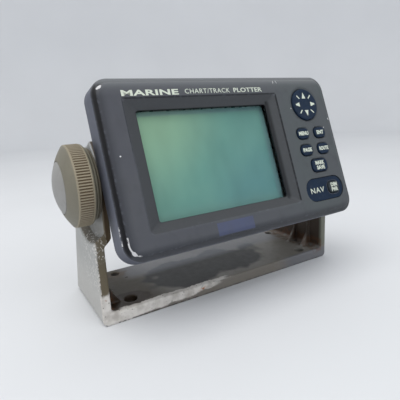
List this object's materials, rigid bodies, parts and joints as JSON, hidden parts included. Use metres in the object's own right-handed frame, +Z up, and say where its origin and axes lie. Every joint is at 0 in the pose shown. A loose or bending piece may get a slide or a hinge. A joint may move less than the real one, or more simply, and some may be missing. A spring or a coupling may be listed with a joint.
{
  "type": "chartplotter display",
  "caption": "Small marine chartplotter display: grey head with recessed screen, cursor pad and keys, tilting between the arms of a U-bracket on two clamp knobs.",
  "frame": {"origin": "centre of the bracket's flat underside", "axes": "+X to the viewer's right along the tilt axis, +Y away from the viewer, +Z up"},
  "size_m": [0.2168, 0.1007, 0.1459],
  "materials": {
    "bracket_cast": "worn semi-gloss warm grey paint on cast alloy",
    "shell_grey": "satin dark grey moulded plastic",
    "knob_plastic": "beige-grey moulded plastic, soiled in the knurl",
    "key_navy": "matt navy rubberised plastic",
    "window_glass": "clear, glossy",
    "lcd_green": "green-grey reflective display film",
    "plated_steel": "plated",
    "contact_brass": "satin",
    "circuit_board": "green solder mask",
    "seal_rubber": "matt",
    "white_plastic": "matt",
    "black_plastic": "satin",
    "label_foil": "satin foil, blank"
  },
  "bodies": {
    "bracket": {"mounting_bracket": "bracket_cast"},
    "head": {"antenna_insulator": "white_plastic", "antenna_jack": "plated_steel", "antenna_jack_nut": "plated_steel", "antenna_pin": "contact_brass", "backup_battery": "plated_steel", "badge_plate": "key_navy", "board_screw_1": "plated_steel", "board_screw_2": "plated_steel", "board_screw_3": "plated_steel", "board_screw_4": "plated_steel", "buzzer": "black_plastic", "case_gasket": "seal_rubber", "case_screw_1": "plated_steel", "case_screw_2": "plated_steel", "case_screw_3": "plated_steel", "case_screw_4": "plated_steel", "display_window": "window_glass", "front_bezel": "shell_grey", "ground_nut": "plated_steel", "ground_stud": "plated_steel", "ground_washer": "plated_steel", "keypad_board": "circuit_board", "keypad_sheet": "seal_rubber", "lcd_frame": "plated_steel", "lcd_panel": "lcd_green", "left_friction_washer": "seal_rubber", "left_threaded_insert": "contact_brass", "light_guide": "white_plastic", "main_board": "circuit_board", "power_pin_block": "contact_brass", "power_socket": "black_plastic", "power_socket_nut": "plated_steel", "rear_case": "shell_grey", "rear_label": "label_foil", "receiver_shield": "plated_steel", "ribbon_cable": "white_plastic", "right_friction_washer": "seal_rubber", "right_threaded_insert": "contact_brass"},
    "left_clamp": {"left_knob_washer": "knob_plastic"},
    "left_knob": {"left_knob": "knob_plastic", "left_knob_cap": "knob_plastic", "left_stud": "plated_steel"},
    "right_clamp": {"right_knob_washer": "knob_plastic"},
    "right_knob": {"right_knob": "knob_plastic", "right_knob_cap": "knob_plastic", "right_stud": "plated_steel"},
    "menu_button": {"menu_key": "key_navy"},
    "enter_button": {"enter_key": "key_navy"},
    "display_button": {"display_key": "key_navy"},
    "goto_button": {"goto_key": "key_navy"},
    "mark_button": {"mark_key": "key_navy"},
    "power_button": {"power_key": "key_navy"},
    "cursor_gimbal": {"cursor_pivot": "white_plastic"},
    "cursor_rocker": {"cursor_pad": "key_navy"}
  },
  "joints": [
    {"name": "head_tilt", "type": "hinge", "parent": "bracket", "child": "head", "pos_m": [0, -0.0175, 0.0864], "axis": [-1, 0, 0], "range_deg": [-24, 20]},
    {"name": "left_knob_travel", "type": "slide", "parent": "head", "child": "left_clamp", "axis": [-1, 0, 0], "range_m": [0, 0.00375]},
    {"name": "left_knob_turn", "type": "hinge", "parent": "left_clamp", "child": "left_knob", "pos_m": [-0.0995, -0.0175, 0.0864], "axis": [-1, 0, 0], "range_deg": [0, 1080]},
    {"name": "right_knob_travel", "type": "slide", "parent": "head", "child": "right_clamp", "axis": [1, 0, 0], "range_m": [0, 0.00375]},
    {"name": "right_knob_turn", "type": "hinge", "parent": "right_clamp", "child": "right_knob", "pos_m": [0.0995, -0.0175, 0.0864], "axis": [1, 0, 0], "range_deg": [0, 1080]},
    {"name": "menu_button_press", "type": "slide", "parent": "head", "child": "menu_button", "axis": [0, 0.9409, -0.3387], "range_m": [0, 0.0008], "stiffness_N_per_m": 700},
    {"name": "enter_button_press", "type": "slide", "parent": "head", "child": "enter_button", "axis": [0, 0.9409, -0.3387], "range_m": [0, 0.0008], "stiffness_N_per_m": 700},
    {"name": "display_button_press", "type": "slide", "parent": "head", "child": "display_button", "axis": [0, 0.9409, -0.3387], "range_m": [0, 0.0008], "stiffness_N_per_m": 700},
    {"name": "goto_button_press", "type": "slide", "parent": "head", "child": "goto_button", "axis": [0, 0.9409, -0.3387], "range_m": [0, 0.0008], "stiffness_N_per_m": 700},
    {"name": "mark_button_press", "type": "slide", "parent": "head", "child": "mark_button", "axis": [0, 0.9409, -0.3387], "range_m": [0, 0.0008], "stiffness_N_per_m": 700},
    {"name": "power_button_press", "type": "slide", "parent": "head", "child": "power_button", "axis": [0, 0.9409, -0.3387], "range_m": [0, 0.0008], "stiffness_N_per_m": 700},
    {"name": "cursor_rock_sideways", "type": "hinge", "parent": "head", "child": "cursor_gimbal", "pos_m": [0.064, -0.03708, 0.12501], "axis": [0, 0.3387, 0.9409], "range_deg": [-3, 3], "stiffness_Nm_per_rad": 0.6},
    {"name": "cursor_rock_up_down", "type": "hinge", "parent": "cursor_gimbal", "child": "cursor_rocker", "pos_m": [0.064, -0.03708, 0.12501], "axis": [1, 0, 0], "range_deg": [-3, 3], "stiffness_Nm_per_rad": 0.6}
  ],
  "couplings": [
    {"joint": "left_knob_turn", "follows": "left_knob_travel", "rad_per_m": 5026.5},
    {"joint": "right_knob_turn", "follows": "right_knob_travel", "rad_per_m": 5026.5}
  ]
}
